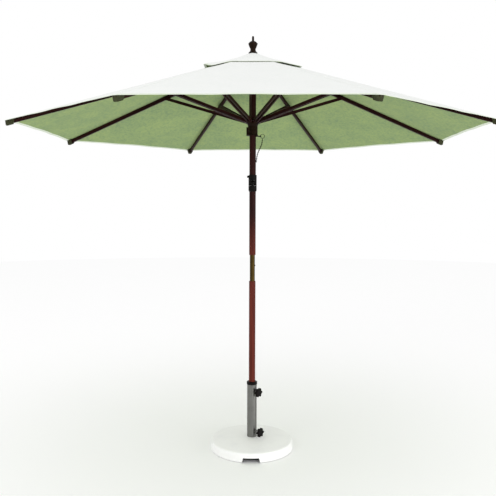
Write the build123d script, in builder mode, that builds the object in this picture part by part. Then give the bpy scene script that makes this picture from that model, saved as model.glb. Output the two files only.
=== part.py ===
from build123d import *
import os
from math import asin, cos, degrees, radians, sin, sqrt, tan

# A wooden patio umbrella, open and upright, in a round weighted base. Millimetres, +Z up.
# The origin is on the floor at the middle of the base, and the pole stands on the Z axis.
# Eight ribs leave the crown between the axes, so a straight edge of the canopy faces -Y.

# ---- driving dimensions ----
RIB_COUNT = 8
STEP = 360 / RIB_COUNT
HALF = STEP / 2
AZIMUTHS = [HALF + STEP * k for k in range(RIB_COUNT)]

POLE_R = 19.0
RUNNING = 0.05  # radial clearance of a pin that turns in its hole
SEATED = 0.02  # radial clearance of a piece that is fixed in a socket

# canopy and linkage
CORNER_R = 1350.0  # octagon corner, measured from the pole
SLOPE = 17.95  # fall of a rib below the horizontal, degrees
PIVOT_R = 44.0  # crown pins and runner pins stand on the same radius
CROWN_Z = 2283.0  # crown pins
STRUT_LENGTH = 570.0  # also the distance along a rib from crown pin to strut rivet
RIB_WIDTH = 14.0
RIB_HEIGHT = 22.0
CROWN_PIN_BELOW = 7.0  # crown pin below the rib's middle line
RIVET_BELOW = 2.0  # strut rivet below the rib's middle line
RIB_TIP_GAP = 8.0  # rib stops short of the canopy corner
SLAT_THICKNESS = 6.0
SLAT_HEIGHT = 18.0
SLAT_GAP = 15.0  # between the two slats of a strut
FABRIC = 1.5
FABRIC_LIFT = 1.5  # fabric above the rib's top face
SEAM_GAP = 0.2
VENT_OPENING_R = 170.0
VENT_R = 300.0
VENT_LIFT = 11.0  # vent canopy above the main canopy

# base
BASE_R = 245.0
PAD_HEIGHT = 2.5
BASE_WALL = 57.0  # height of the disc's rim
BASE_TOP = 71.0
GRIP_WIDTH_TOP = 90.0
GRIP_WIDTH_BOTTOM = 105.0
GRIP_HEIGHT = 26.0
GRIP_DEPTH = 46.0
TUBE_R = 29.0
TUBE_WALL = 2.0
TUBE_FOOT = 20.0
TUBE_TOP = 388.0
COLLAR_TOP = 405.0
POLE_FOOT = 40.0
KNOB_AZIMUTH = -40.0
UPPER_KNOB_Z = 345.0
LOWER_KNOB_Z = 106.0
STUD_R = 4.0
STUD_LENGTH = 36.7
KNOB_DEPTH = 20.0
UPPER_KNOB_IN = 40.0  # distance of the knob's inner face from the pole's axis
LOWER_KNOB_IN = 54.0

# pole joints
JOINT_BOTTOM = 1008.0  # end of the lower pole
JOINT_TOP = 1163.0  # shoulder of the middle pole
FERRULE_R = 15.0
FERRULE_WALL = 1.5
FERRULE_DEPTH = 90.0  # inside the lower pole
SCREW_Z = 1101.0
TILT_BOTTOM = 1535.0
TILT_Z = 1586.0
TILT_TOP = 1632.0
TILT_R = 24.0
TENON_R = 17.0
TONGUE_WIDTH = 16.0
EYE_R = 16.0
TILT_PIN_R = 4.0
BUTTON_Z = 1622.0
BUTTON_OUT = 32.0

# runner, lock pin and lift rope
RUNNER_BORE = 24.6
RUNNER_R = 28.5
RUNNER_BOTTOM = 1860.0
RUNNER_HEAD_R = 33.0
KEYWAY = 11.0
PIN_R = 3.0
PIN_Z = RUNNER_BOTTOM - PIN_R - 0.3
PIN_END = 50.0
RING_R = 11.5
RING_WIRE = 1.3
STAPLE_Z = 1708.0
ROPE_R = 2.2
ROPE_AZIMUTH = -135.0
ROPE_OUT = 21.0  # strands stand this far from the pole's axis
ROPE_SPREAD = 6.0  # half the distance between the two strands
PULLEY_Z = 2190.0
ROPE_END = 1900.0

# ---- worked out ----
LINE_ANGLE = SLOPE - degrees(asin((CROWN_PIN_BELOW - RIVET_BELOW) / STRUT_LENGTH))
RIVET_U = PIVOT_R + STRUT_LENGTH * cos(radians(LINE_ANGLE))
RIVET_Z = CROWN_Z - STRUT_LENGTH * sin(radians(LINE_ANGLE))
RUNNER_Z = CROWN_Z - 2 * STRUT_LENGTH * sin(radians(LINE_ANGLE))
RIB_START = 9.0  # rib end behind the crown pin
TIP_RUN = (CORNER_R - RIB_TIP_GAP - PIVOT_R) / cos(radians(SLOPE))
GORE_FALL = tan(radians(SLOPE)) / cos(radians(HALF))  # slope of a flat gore down its middle
GORE_STRETCH = sqrt(1 + GORE_FALL**2)
RIB_TOP = CROWN_PIN_BELOW + RIB_HEIGHT / 2
FABRIC_PEAK = CROWN_Z + (RIB_TOP + FABRIC_LIFT) / cos(radians(SLOPE)) + PIVOT_R * tan(radians(SLOPE))
VENT_PEAK = FABRIC_PEAK + VENT_LIFT + FABRIC

os.makedirs("parts", exist_ok=True)


def radial_plane(azimuth):
    """Upright plane through the pole: local x points outwards, local y points up."""
    a = radians(azimuth)
    return Plane(origin=(0, 0, 0), x_dir=(cos(a), sin(a), 0), z_dir=(sin(a), -cos(a), 0))


def outward_plane(azimuth, z, distance):
    """Plane facing outwards from the pole at a height and a distance: local y points up."""
    a = radians(azimuth)
    out = (cos(a), sin(a), 0)
    origin = (distance * out[0], distance * out[1], z)
    return Plane(origin=origin, x_dir=(-sin(a), cos(a), 0), z_dir=out)


def gore_plane(azimuth, peak):
    """Plane of a flat gore: local x runs down its middle from the peak, local y is level."""
    a = radians(azimuth)
    c, s = cos(a), sin(a)
    return Plane(origin=(0, 0, peak), x_dir=(c, s, -GORE_FALL), z_dir=(GORE_FALL * c, GORE_FALL * s, 1))


def save(piece, name):
    """Label a finished piece and write it."""
    piece.part.label = name
    export_step(piece.part, f"parts/{name}.step")


# ---- base: disc, pads, anchor plate, tube and its plastic inserts ----
PLATE_R = 70.0
PLATE_THICKNESS = 6.0

with BuildPart() as base_disc:
    with BuildSketch(Plane.XZ):
        with BuildLine():
            l1 = Line((0, PAD_HEIGHT), (BASE_R - 3, PAD_HEIGHT))
            l2 = Line(l1 @ 1, (BASE_R, PAD_HEIGHT + 3))
            l3 = Line(l2 @ 1, (BASE_R - 2, BASE_WALL - 11))
            l4 = RadiusArc(l3 @ 1, (BASE_R - 13, BASE_WALL), -11)
            l5 = ThreePointArc(l4 @ 1, (140, BASE_TOP - 6), (48, BASE_TOP))
            Polyline(l5 @ 1, (0, BASE_TOP), (0, PAD_HEIGHT))
        make_face()
    revolve(axis=Axis.Z)
    with BuildSketch(Plane.XY.offset(TUBE_FOOT - PLATE_THICKNESS)):
        Circle(PLATE_R + SEATED)
    extrude(amount=PLATE_THICKNESS, mode=Mode.SUBTRACT)
    with BuildSketch(Plane.XY.offset(TUBE_FOOT)):
        Circle(TUBE_R + SEATED)
    extrude(amount=BASE_TOP, mode=Mode.SUBTRACT)
    for side in (1, -1):
        with BuildSketch(Plane.XZ.offset(side * (BASE_R - GRIP_DEPTH))):
            with BuildLine():
                Polyline(
                    (-GRIP_WIDTH_BOTTOM / 2, 0),
                    (GRIP_WIDTH_BOTTOM / 2, 0),
                    (GRIP_WIDTH_TOP / 2, GRIP_HEIGHT + PAD_HEIGHT),
                    (-GRIP_WIDTH_TOP / 2, GRIP_HEIGHT + PAD_HEIGHT),
                    close=True,
                )
            make_face()
        extrude(amount=side * 2 * GRIP_DEPTH, mode=Mode.SUBTRACT)
save(base_disc, "base_disc")

with BuildPart() as base_pads:
    with BuildSketch():
        with PolarLocations(190, 6):
            Circle(16)
    extrude(amount=PAD_HEIGHT)
save(base_pads, "base_pads")

with BuildPart() as anchor_plate:
    with BuildSketch(Plane.XY.offset(TUBE_FOOT - PLATE_THICKNESS)):
        Circle(PLATE_R)
    extrude(amount=PLATE_THICKNESS)
save(anchor_plate, "anchor_plate")

with BuildPart() as base_tube:
    with BuildSketch(Plane.XY.offset(TUBE_FOOT)):
        Circle(TUBE_R)
        Circle(TUBE_R - TUBE_WALL, mode=Mode.SUBTRACT)
    extrude(amount=TUBE_TOP - TUBE_FOOT)
    for height in (UPPER_KNOB_Z, LOWER_KNOB_Z):
        with BuildSketch(outward_plane(KNOB_AZIMUTH, height, 0)):
            Circle(STUD_R + 0.3)
        extrude(amount=2 * TUBE_R, mode=Mode.SUBTRACT)
save(base_tube, "base_tube")

INSERT_R = TUBE_R - TUBE_WALL - SEATED
SLIDE_R = POLE_R + 0.1

with BuildPart() as pole_seat:
    with BuildSketch(Plane.XY.offset(TUBE_FOOT)):
        Circle(INSERT_R)
    extrude(amount=50)
    with BuildSketch(Plane.XY.offset(POLE_FOOT)):
        Circle(SLIDE_R)
    extrude(amount=50, mode=Mode.SUBTRACT)
    chamfer(pole_seat.edges().filter_by(GeomType.CIRCLE).group_by(Axis.Z)[-1].sort_by(SortBy.RADIUS)[0], 2)
save(pole_seat, "pole_seat")

with BuildPart() as tube_collar:
    with BuildSketch(Plane.XY.offset(TUBE_TOP)):
        Circle(TUBE_R + 2)
    extrude(amount=COLLAR_TOP - TUBE_TOP)
    fillet(tube_collar.edges().group_by(Axis.Z)[-1], 3)
    with BuildSketch(Plane.XY.offset(TUBE_TOP)):
        Circle(INSERT_R)
    extrude(amount=-22)
    with BuildSketch(Plane.XY.offset(TUBE_TOP - 30)):
        Circle(SLIDE_R)
    extrude(amount=60, mode=Mode.SUBTRACT)
save(tube_collar, "tube_collar")

with BuildPart() as knob_bosses:
    for height in (UPPER_KNOB_Z, LOWER_KNOB_Z):
        with BuildSketch(outward_plane(KNOB_AZIMUTH, height, TUBE_R - 5)):
            RegularPolygon(9.5, 6)
        extrude(amount=14)
    with BuildSketch():
        Circle(TUBE_R + SEATED)
    extrude(amount=TUBE_TOP, mode=Mode.SUBTRACT)
    for height in (UPPER_KNOB_Z, LOWER_KNOB_Z):
        with BuildSketch(outward_plane(KNOB_AZIMUTH, height, 0)):
            Circle(STUD_R + RUNNING)
        extrude(amount=3 * TUBE_R, mode=Mode.SUBTRACT)
save(knob_bosses, "knob_bosses")


# ---- the two clamping knobs, each with its threaded stud ----
KNOB_CORE_R = 21.0
LOBE_R = 7.5
LOBE_RING = 20.0

for name, height, inner in (("upper", UPPER_KNOB_Z, UPPER_KNOB_IN), ("lower", LOWER_KNOB_Z, LOWER_KNOB_IN)):
    stud_end = inner + KNOB_DEPTH - 4
    with BuildPart() as stud:
        with BuildSketch(outward_plane(KNOB_AZIMUTH, height, stud_end)):
            Circle(STUD_R)
        extrude(amount=-STUD_LENGTH)
        chamfer(stud.edges().filter_by(GeomType.CIRCLE), 0.8)
    save(stud, f"{name}_stud")

    with BuildPart() as knob:
        with BuildSketch(outward_plane(KNOB_AZIMUTH, height, inner + 3)):
            Circle(KNOB_CORE_R)
            with PolarLocations(LOBE_RING, 6):
                Circle(LOBE_R)
            fillet(vertices(), 4)
        extrude(amount=KNOB_DEPTH - 3)
        fillet(knob.edges().filter_by(GeomType.LINE, reverse=True), 2.5)
        with BuildSketch(outward_plane(KNOB_AZIMUTH, height, inner)):
            Circle(12)
        extrude(amount=4)
        with BuildSketch(outward_plane(KNOB_AZIMUTH, height, stud_end)):
            Circle(STUD_R + SEATED)
        extrude(amount=-KNOB_DEPTH, mode=Mode.SUBTRACT)
    save(knob, f"{name}_knob")


# ---- pole: lower and middle lengths and the brass joint between them ----
FERRULE_FOOT = JOINT_BOTTOM - FERRULE_DEPTH
CORE_R = FERRULE_R - FERRULE_WALL

with BuildPart() as lower_pole:
    with BuildSketch(Plane.XY.offset(POLE_FOOT)):
        Circle(POLE_R)
    extrude(amount=JOINT_BOTTOM - POLE_FOOT)
    chamfer(lower_pole.edges().filter_by(GeomType.CIRCLE), 1)
    with BuildSketch(Plane.XY.offset(FERRULE_FOOT)):
        Circle(FERRULE_R + RUNNING)
    extrude(amount=FERRULE_DEPTH, mode=Mode.SUBTRACT)
save(lower_pole, "lower_pole")

with BuildPart() as middle_pole:
    with BuildSketch(Plane.XY.offset(JOINT_TOP)):
        Circle(POLE_R)
    extrude(amount=TILT_BOTTOM - JOINT_TOP)
    chamfer(middle_pole.edges().group_by(Axis.Z)[0], 1)
    with BuildSketch(Plane.XY.offset(FERRULE_FOOT + 4)):
        Circle(CORE_R - SEATED)
    extrude(amount=JOINT_TOP - FERRULE_FOOT - 4)
    with BuildSketch(Plane.XY.offset(TILT_BOTTOM)):
        Circle(TENON_R)
    extrude(amount=25)
    with BuildSketch(outward_plane(0, SCREW_Z, FERRULE_R)):
        Circle(2)
    extrude(amount=-12, mode=Mode.SUBTRACT)
save(middle_pole, "middle_pole")

with BuildPart() as brass_ferrule:
    with BuildSketch(Plane.XY.offset(FERRULE_FOOT)):
        Circle(FERRULE_R)
        Circle(CORE_R, mode=Mode.SUBTRACT)
    extrude(amount=JOINT_TOP - FERRULE_FOOT)
    with BuildSketch(outward_plane(0, SCREW_Z, 0)):
        Circle(2)
    extrude(amount=2 * FERRULE_R, mode=Mode.SUBTRACT)
save(brass_ferrule, "brass_ferrule")

with BuildPart() as ferrule_screw:
    with BuildSketch(outward_plane(0, SCREW_Z, FERRULE_R + 0.1)):
        Circle(4)
    extrude(amount=2.4)
    fillet(ferrule_screw.faces().sort_by(Axis.X)[-1].edges(), 1.5)
    with BuildSketch(outward_plane(0, SCREW_Z, FERRULE_R + 0.1)):
        Circle(2 - SEATED)
    extrude(amount=-11)
save(ferrule_screw, "ferrule_screw")


# ---- tilt knuckle: tongue below, fork above, one pin along X, and its release button ----
with BuildPart() as tilt_socket:
    with BuildSketch(Plane.XY.offset(TILT_BOTTOM)):
        Circle(TILT_R)
    extrude(amount=TILT_Z - EYE_R - 1 - TILT_BOTTOM)
    chamfer(tilt_socket.edges().group_by(Axis.Z)[0], 8, 3.5)
    with BuildSketch(Plane.YZ):
        with Locations((0, TILT_Z)):
            Circle(EYE_R)
        with Locations((0, TILT_Z - EYE_R)):
            Rectangle(2 * EYE_R, 2 * EYE_R)
        with Locations((0, TILT_Z)):
            Circle(TILT_PIN_R + RUNNING, mode=Mode.SUBTRACT)
    extrude(amount=TONGUE_WIDTH / 2, both=True)
    with BuildSketch(Plane.XY.offset(TILT_BOTTOM)):
        Circle(TENON_R + SEATED)
    extrude(amount=25, mode=Mode.SUBTRACT)
save(tilt_socket, "tilt_socket")

HEAD_FLOOR = TILT_Z + EYE_R + 0.5
HEAD_SOCKET = HEAD_FLOOR + 10

with BuildPart() as tilt_head:
    with BuildSketch(Plane.YZ):
        with Locations((0, TILT_Z)):
            Circle(EYE_R)
        with Locations((0, TILT_Z + EYE_R)):
            Rectangle(2 * EYE_R, 2 * EYE_R)
    extrude(amount=TILT_R, both=True)
    with BuildSketch(Plane.YZ):
        with Locations((0, TILT_Z)):
            Rectangle(3 * TILT_R, 2 * EYE_R + 1)
    extrude(amount=TONGUE_WIDTH / 2 + 0.4, both=True, mode=Mode.SUBTRACT)
    with BuildSketch(Plane.XY.offset(HEAD_FLOOR)):
        Circle(TILT_R)
    extrude(amount=TILT_TOP - HEAD_FLOOR)
    with BuildSketch(Plane.XY.offset(TILT_BOTTOM)):
        Circle(TILT_R)
    extrude(amount=TILT_TOP - TILT_BOTTOM, mode=Mode.INTERSECT)
    fillet(tilt_head.edges().group_by(Axis.Z)[-1], 2)
    with BuildSketch(Plane.YZ.offset(-TILT_R)):
        with Locations((0, TILT_Z)):
            Circle(TILT_PIN_R + SEATED)
    extrude(amount=2 * TILT_R, mode=Mode.SUBTRACT)
    with BuildSketch(Plane.XY.offset(HEAD_SOCKET)):
        Circle(TENON_R + SEATED)
    extrude(amount=TILT_TOP, mode=Mode.SUBTRACT)
    with BuildSketch(outward_plane(180, BUTTON_Z, TENON_R + 0.8)):
        Rectangle(10.6, 12.6)
    extrude(amount=TILT_R, mode=Mode.SUBTRACT)
save(tilt_head, "tilt_head")

with BuildPart() as tilt_pivot:
    with BuildSketch(Plane.YZ.offset(-TILT_R + 1.5)):
        with Locations((0, TILT_Z)):
            Circle(TILT_PIN_R)
    extrude(amount=2 * TILT_R - 3)
save(tilt_pivot, "tilt_pivot")

with BuildPart() as tilt_button:
    with BuildSketch(outward_plane(180, BUTTON_Z, TILT_R - 3)):
        RectangleRounded(10, 12, 1.5)
    extrude(amount=BUTTON_OUT - TILT_R + 3)
    fillet(tilt_button.faces().sort_by(Axis.X)[0].edges(), 1.4)
save(tilt_button, "tilt_button")


# ---- upper pole, pulley and lift rope ----
POLE_TOP = 2318.0
STAPLE_R = 2.2
PULLEY_FLOOR = ROPE_OUT - ROPE_R - 1.0
AXLE_R = 1.8
FINIAL_STUD_R = 5.0

with BuildPart() as upper_pole:
    with BuildSketch(Plane.XY.offset(TILT_TOP)):
        Circle(POLE_R)
    extrude(amount=POLE_TOP - TILT_TOP)
    with BuildSketch(Plane.XY.offset(HEAD_SOCKET)):
        Circle(TENON_R)
    extrude(amount=TILT_TOP - HEAD_SOCKET)
    with BuildSketch(outward_plane(0, PIN_Z, -PIN_R * 5.5)):
        Circle(PIN_R + RUNNING)
    extrude(amount=3 * POLE_R, mode=Mode.SUBTRACT)
    with BuildSketch(outward_plane(0, STAPLE_Z, 10)):
        Circle(STAPLE_R + SEATED)
    extrude(amount=POLE_R, mode=Mode.SUBTRACT)
    with BuildSketch(outward_plane(ROPE_AZIMUTH, PULLEY_Z, PULLEY_FLOOR)):
        Circle(9)
    extrude(amount=POLE_R, mode=Mode.SUBTRACT)
    with BuildSketch(outward_plane(ROPE_AZIMUTH, PULLEY_Z, 6)):
        Circle(AXLE_R + SEATED)
    extrude(amount=POLE_R, mode=Mode.SUBTRACT)
    with BuildSketch(Plane.XY.offset(POLE_TOP)):
        Circle(FINIAL_STUD_R + SEATED)
    extrude(amount=-31, mode=Mode.SUBTRACT)
save(upper_pole, "upper_pole")

with BuildPart() as pulley_axle:
    with BuildSketch(outward_plane(ROPE_AZIMUTH, PULLEY_Z, 7)):
        Circle(AXLE_R)
    extrude(amount=ROPE_OUT + 4 - 7)
    with BuildSketch(outward_plane(ROPE_AZIMUTH, PULLEY_Z, ROPE_OUT + 3.6)):
        Circle(3.2)
    extrude(amount=1.2)
save(pulley_axle, "pulley_axle")

with BuildPart() as pulley_wheel:
    with BuildSketch(outward_plane(ROPE_AZIMUTH, PULLEY_Z, ROPE_OUT - ROPE_R - 0.8)):
        Circle(8)
    extrude(amount=2 * ROPE_R + 1.6)
    with BuildSketch(outward_plane(ROPE_AZIMUTH, PULLEY_Z, ROPE_OUT - ROPE_R - 0.1)):
        Circle(10)
        Circle(ROPE_SPREAD - ROPE_R - 0.1, mode=Mode.SUBTRACT)
    extrude(amount=2 * ROPE_R + 0.2, mode=Mode.SUBTRACT)
    with BuildSketch(outward_plane(ROPE_AZIMUTH, PULLEY_Z, 0)):
        Circle(AXLE_R + RUNNING)
    extrude(amount=2 * ROPE_OUT, mode=Mode.SUBTRACT)
save(pulley_wheel, "pulley_wheel")

with BuildPart() as lift_rope:
    with BuildLine(outward_plane(ROPE_AZIMUTH, PULLEY_Z, ROPE_OUT)) as rope_path:
        rope_up = Line((-ROPE_SPREAD, ROPE_END - PULLEY_Z), (-ROPE_SPREAD, 0))
        rope_over = ThreePointArc(rope_up @ 1, (0, ROPE_SPREAD), (ROPE_SPREAD, 0))
        Line(rope_over @ 1, (ROPE_SPREAD, ROPE_END - PULLEY_Z))
    with BuildSketch(Plane(rope_up @ 0, z_dir=rope_up % 0)):
        Circle(ROPE_R)
    sweep()
save(lift_rope, "lift_rope")


# ---- crown: hub, its pins, top cap and finial ----
HUB_BOTTOM = 2262.0
HUB_TOP = 2300.0
HUB_R = 57.0
HUB_CORE_R = 33.6
HUB_PIN_R = 2.0
HUB_PIN_HALF = 12.0

with BuildPart() as crown_hub:
    with BuildSketch(Plane.XY.offset(HUB_BOTTOM)):
        Circle(HUB_R)
    extrude(amount=HUB_TOP - HUB_BOTTOM)
    fillet(crown_hub.edges().filter_by(GeomType.CIRCLE), 5)
    with BuildSketch(Plane.XY.offset(HUB_BOTTOM)):
        with PolarLocations(HUB_CORE_R + 20, RIB_COUNT, start_angle=HALF):
            Rectangle(40, SLAT_GAP)
        Circle(POLE_R + SEATED)
    extrude(amount=HUB_TOP - HUB_BOTTOM, mode=Mode.SUBTRACT)
    for azimuth in AZIMUTHS:
        with BuildSketch(radial_plane(azimuth)):
            with Locations((PIVOT_R, CROWN_Z)):
                Circle(HUB_PIN_R + SEATED)
        extrude(amount=HUB_PIN_HALF, both=True, mode=Mode.SUBTRACT)
save(crown_hub, "crown_hub")

with BuildPart() as crown_pins:
    for azimuth in AZIMUTHS:
        with BuildSketch(radial_plane(azimuth)):
            with Locations((PIVOT_R, CROWN_Z)):
                Circle(HUB_PIN_R)
        extrude(amount=HUB_PIN_HALF, both=True)
save(crown_pins, "crown_pins")

with BuildPart() as crown_cap:
    with BuildSketch(Plane.XZ):
        with BuildLine():
            Polyline(
                (POLE_R + SEATED, HUB_TOP),
                (32, HUB_TOP),
                (32, HUB_TOP + 8),
                (26, POLE_TOP),
                (POLE_R + SEATED, POLE_TOP),
                close=True,
            )
        make_face()
    revolve(axis=Axis.Z)
save(crown_cap, "crown_cap")

FINIAL_NECK_R = 14.0
FINIAL_SKIRT_Z = 2331.0  # underside of the flared foot, just over the vent cloth
FINIAL_BODY_R = 27.0
FINIAL_TOP = 2430.0
FINIAL_TIP_R = 6.0

with BuildPart() as finial:
    with BuildSketch(Plane.XZ):
        with BuildLine():
            f1 = Line((0, POLE_TOP), (FINIAL_NECK_R, POLE_TOP))
            f2 = Line(f1 @ 1, (FINIAL_NECK_R, FINIAL_SKIRT_Z))
            f3 = Line(f2 @ 1, (24, FINIAL_SKIRT_Z))
            f4 = ThreePointArc(f3 @ 1, (26, FINIAL_SKIRT_Z + 2.2), (24.6, FINIAL_SKIRT_Z + 5))
            f5 = ThreePointArc(f4 @ 1, (17.5, FINIAL_SKIRT_Z + 13.5), (15.5, FINIAL_SKIRT_Z + 26))
            f6 = ThreePointArc(f5 @ 1, (21.4, FINIAL_SKIRT_Z + 38.5), (26, FINIAL_SKIRT_Z + 51.5))
            f7 = ThreePointArc(f6 @ 1, (FINIAL_BODY_R, FINIAL_SKIRT_Z + 55), (24.8, FINIAL_SKIRT_Z + 58.5))
            f8 = ThreePointArc(f7 @ 1, (17, FINIAL_SKIRT_Z + 66), (8.5, FINIAL_SKIRT_Z + 70.5))
            f9 = Line(f8 @ 1, (6.5, FINIAL_SKIRT_Z + 73))
            f10 = Line(f9 @ 1, (FINIAL_TIP_R, FINIAL_TOP - FINIAL_TIP_R))
            f11 = RadiusArc(f10 @ 1, (0, FINIAL_TOP), -FINIAL_TIP_R)
            Line(f11 @ 1, (0, POLE_TOP))
        make_face()
    revolve(axis=Axis.Z)
    with BuildSketch(Plane.XY.offset(POLE_TOP)):
        Circle(FINIAL_STUD_R)
    extrude(amount=-30)
save(finial, "finial")


# ---- canopy: eight rib-centred panels and the small vent canopy over them ----
def gore(azimuth, peak, near, far, low, high):
    """Flat gore between two radii; low and high are its edges, where 1 is the next rib and 0 the middle."""
    points = []
    for radius, share in ((near, low), (far, low), (far, high), (near, high)):
        along = radius * cos(radians(HALF))
        edge = share * along * tan(radians(HALF))
        inset = SEAM_GAP if share == low else -SEAM_GAP
        points.append((along * GORE_STRETCH, edge + inset))
    with BuildSketch(gore_plane(azimuth, peak)) as flat:
        with BuildLine():
            Polyline(*points, close=True)
        make_face()
    return flat.sketch


for number, azimuth in enumerate(AZIMUTHS, 1):
    with BuildPart() as canopy_panel:
        for side in (-1, 1):
            flat = gore(azimuth + side * HALF, FABRIC_PEAK, VENT_OPENING_R, CORNER_R, -side, 0)
            extrude(flat, amount=FABRIC)
    save(canopy_panel, f"canopy_panel_{number}")

with BuildPart() as vent_canopy:
    for azimuth in AZIMUTHS:
        extrude(gore(azimuth + HALF, VENT_PEAK, 26, VENT_R, -1, 1), amount=FABRIC)
save(vent_canopy, "vent_canopy")


# ---- ribs and struts ----
def at_rib(along, above):
    """Point of a rib's upright plane, by distance from the crown pin and height off its middle line."""
    c, s = cos(radians(SLOPE)), sin(radians(SLOPE))
    above += CROWN_PIN_BELOW
    return (PIVOT_R + along * c + above * s, CROWN_Z - along * s + above * c)


RIVET_R = 2.5
RIVET_HALF = SLAT_GAP / 2 + SLAT_THICKNESS + SEATED

for number, azimuth in enumerate(AZIMUTHS, 1):
    a = radians(azimuth)
    along_rib = (cos(a) * cos(radians(SLOPE)), sin(a) * cos(radians(SLOPE)), -sin(radians(SLOPE)))
    top, low = RIB_HEIGHT / 2, -RIB_HEIGHT / 2
    with BuildPart() as rib:
        with BuildSketch(radial_plane(azimuth)):
            with BuildLine():
                Polyline(
                    at_rib(-RIB_START, low),
                    at_rib(TIP_RUN - 5, low),
                    at_rib(TIP_RUN, low + 5),
                    at_rib(TIP_RUN, top),
                    at_rib(-RIB_START, top),
                    close=True,
                )
            make_face()
        extrude(amount=RIB_WIDTH / 2, both=True)
        fillet(rib.edges().filter_by(Axis((0, 0, 0), along_rib)), 2)
        with BuildSketch(radial_plane(azimuth)):
            with Locations((PIVOT_R, CROWN_Z)):
                Circle(HUB_PIN_R + RUNNING)
            with Locations((RIVET_U, RIVET_Z)):
                Circle(RIVET_R + RUNNING)
        extrude(amount=RIB_WIDTH, both=True, mode=Mode.SUBTRACT)
    save(rib, f"rib_{number}")

    slat_middle = ((PIVOT_R + RIVET_U) / 2, (RUNNER_Z + RIVET_Z) / 2)
    with BuildPart() as strut:
        for side in (-1, 1):
            middle = side * (SLAT_GAP + SLAT_THICKNESS) / 2
            with BuildSketch(radial_plane(azimuth).offset(middle)):
                with Locations(slat_middle):
                    SlotCenterToCenter(STRUT_LENGTH, SLAT_HEIGHT, rotation=LINE_ANGLE)
                with Locations((PIVOT_R, RUNNER_Z)):
                    Circle(HUB_PIN_R + RUNNING, mode=Mode.SUBTRACT)
                with Locations((RIVET_U, RIVET_Z)):
                    Circle(RIVET_R + SEATED, mode=Mode.SUBTRACT)
            extrude(amount=SLAT_THICKNESS / 2, both=True)
        with BuildSketch(radial_plane(azimuth)):
            with Locations((RIVET_U, RIVET_Z)):
                Circle(RIVET_R)
        extrude(amount=RIVET_HALF, both=True)
        for side in (-1, 1):
            with BuildSketch(radial_plane(azimuth).offset(side * RIVET_HALF)):
                with Locations((RIVET_U, RIVET_Z)):
                    Circle(4.5)
            extrude(amount=side * 1.2)
    save(strut, f"strut_{number}")


# ---- runner: sleeve with eight lugs, a keyway that passes the tilt button, and its pins ----
RUNNER_TOP = RUNNER_Z + 13
LUG_END_R = 8.0
BEAD_Z = 1885.0
KEY_R = 33.0

with BuildPart() as runner:
    with BuildSketch(Plane.XZ):
        with BuildLine():
            Polyline(
                (0, RUNNER_BOTTOM),
                (RUNNER_R + 3, RUNNER_BOTTOM),
                (RUNNER_R + 3, RUNNER_BOTTOM + 5),
                (RUNNER_R, RUNNER_BOTTOM + 7),
                (RUNNER_R, BEAD_Z - 3),
                (RUNNER_R + 2, BEAD_Z),
                (RUNNER_R, BEAD_Z + 3),
                (RUNNER_R, RUNNER_Z - 26),
                (RUNNER_HEAD_R, RUNNER_Z - 14),
                (RUNNER_HEAD_R, RUNNER_TOP - 3),
                (RUNNER_HEAD_R - 3, RUNNER_TOP),
                (0, RUNNER_TOP),
                close=True,
            )
        make_face()
    revolve(axis=Axis.Z)
    for azimuth in AZIMUTHS:
        with BuildSketch(radial_plane(azimuth)):
            with BuildLine():
                Polyline(
                    (RUNNER_BORE + 2, RUNNER_Z + LUG_END_R),
                    (PIVOT_R, RUNNER_Z + LUG_END_R),
                    (PIVOT_R, RUNNER_Z - LUG_END_R),
                    (RUNNER_BORE + 2, RUNNER_Z - 2.4 * LUG_END_R),
                    close=True,
                )
            make_face()
            with Locations((PIVOT_R, RUNNER_Z)):
                Circle(LUG_END_R)
        extrude(amount=RIB_WIDTH / 2, both=True)
    with BuildSketch(Plane.XY.offset(RUNNER_BOTTOM)):
        with Locations((-RUNNER_BORE - 6, 0)):
            RectangleRounded(13, KEYWAY + 6, 3)
    extrude(amount=48)
    with BuildSketch(Plane.XY.offset(RUNNER_BOTTOM)):
        Circle(RUNNER_BORE)
        with Locations((-KEY_R / 2, 0)):
            Rectangle(KEY_R, KEYWAY)
    extrude(amount=200, mode=Mode.SUBTRACT)
    for azimuth in AZIMUTHS:
        with BuildSketch(radial_plane(azimuth)):
            with Locations((PIVOT_R, RUNNER_Z)):
                Circle(HUB_PIN_R + SEATED)
        extrude(amount=RIB_WIDTH, both=True, mode=Mode.SUBTRACT)
save(runner, "runner")

with BuildPart() as runner_pins:
    for azimuth in AZIMUTHS:
        with BuildSketch(radial_plane(azimuth)):
            with Locations((PIVOT_R, RUNNER_Z)):
                Circle(HUB_PIN_R)
        extrude(amount=RIVET_HALF + 0.5, both=True)
save(runner_pins, "runner_pins")


# ---- lock pin under the runner, with its ring, chain and staple ----
EYE_X = PIN_END - 4.5
RING_X = EYE_X + RING_R

with BuildPart() as lock_pin:
    with BuildSketch(outward_plane(0, PIN_Z, -16)):
        Circle(PIN_R)
    extrude(amount=PIN_END + 16)
    with BuildSketch(outward_plane(0, PIN_Z, PIN_END - 9)):
        Circle(4.5)
    extrude(amount=9)
    fillet(lock_pin.edges().filter_by(GeomType.CIRCLE).sort_by(Axis.X)[-1], 2)
    with BuildSketch(Plane.XY.offset(PIN_Z - 10)):
        with Locations((EYE_X, 0)):
            Circle(2.4)
    extrude(amount=20, mode=Mode.SUBTRACT)
save(lock_pin, "lock_pin")

with BuildPart() as pull_ring:
    with BuildLine(Plane.XZ):
        ring_path = CenterArc((RING_X, PIN_Z), RING_R, 0, 360)
    with BuildSketch(Plane(ring_path @ 0, z_dir=ring_path % 0)):
        Circle(RING_WIRE)
    sweep()
save(pull_ring, "pull_ring")

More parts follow.
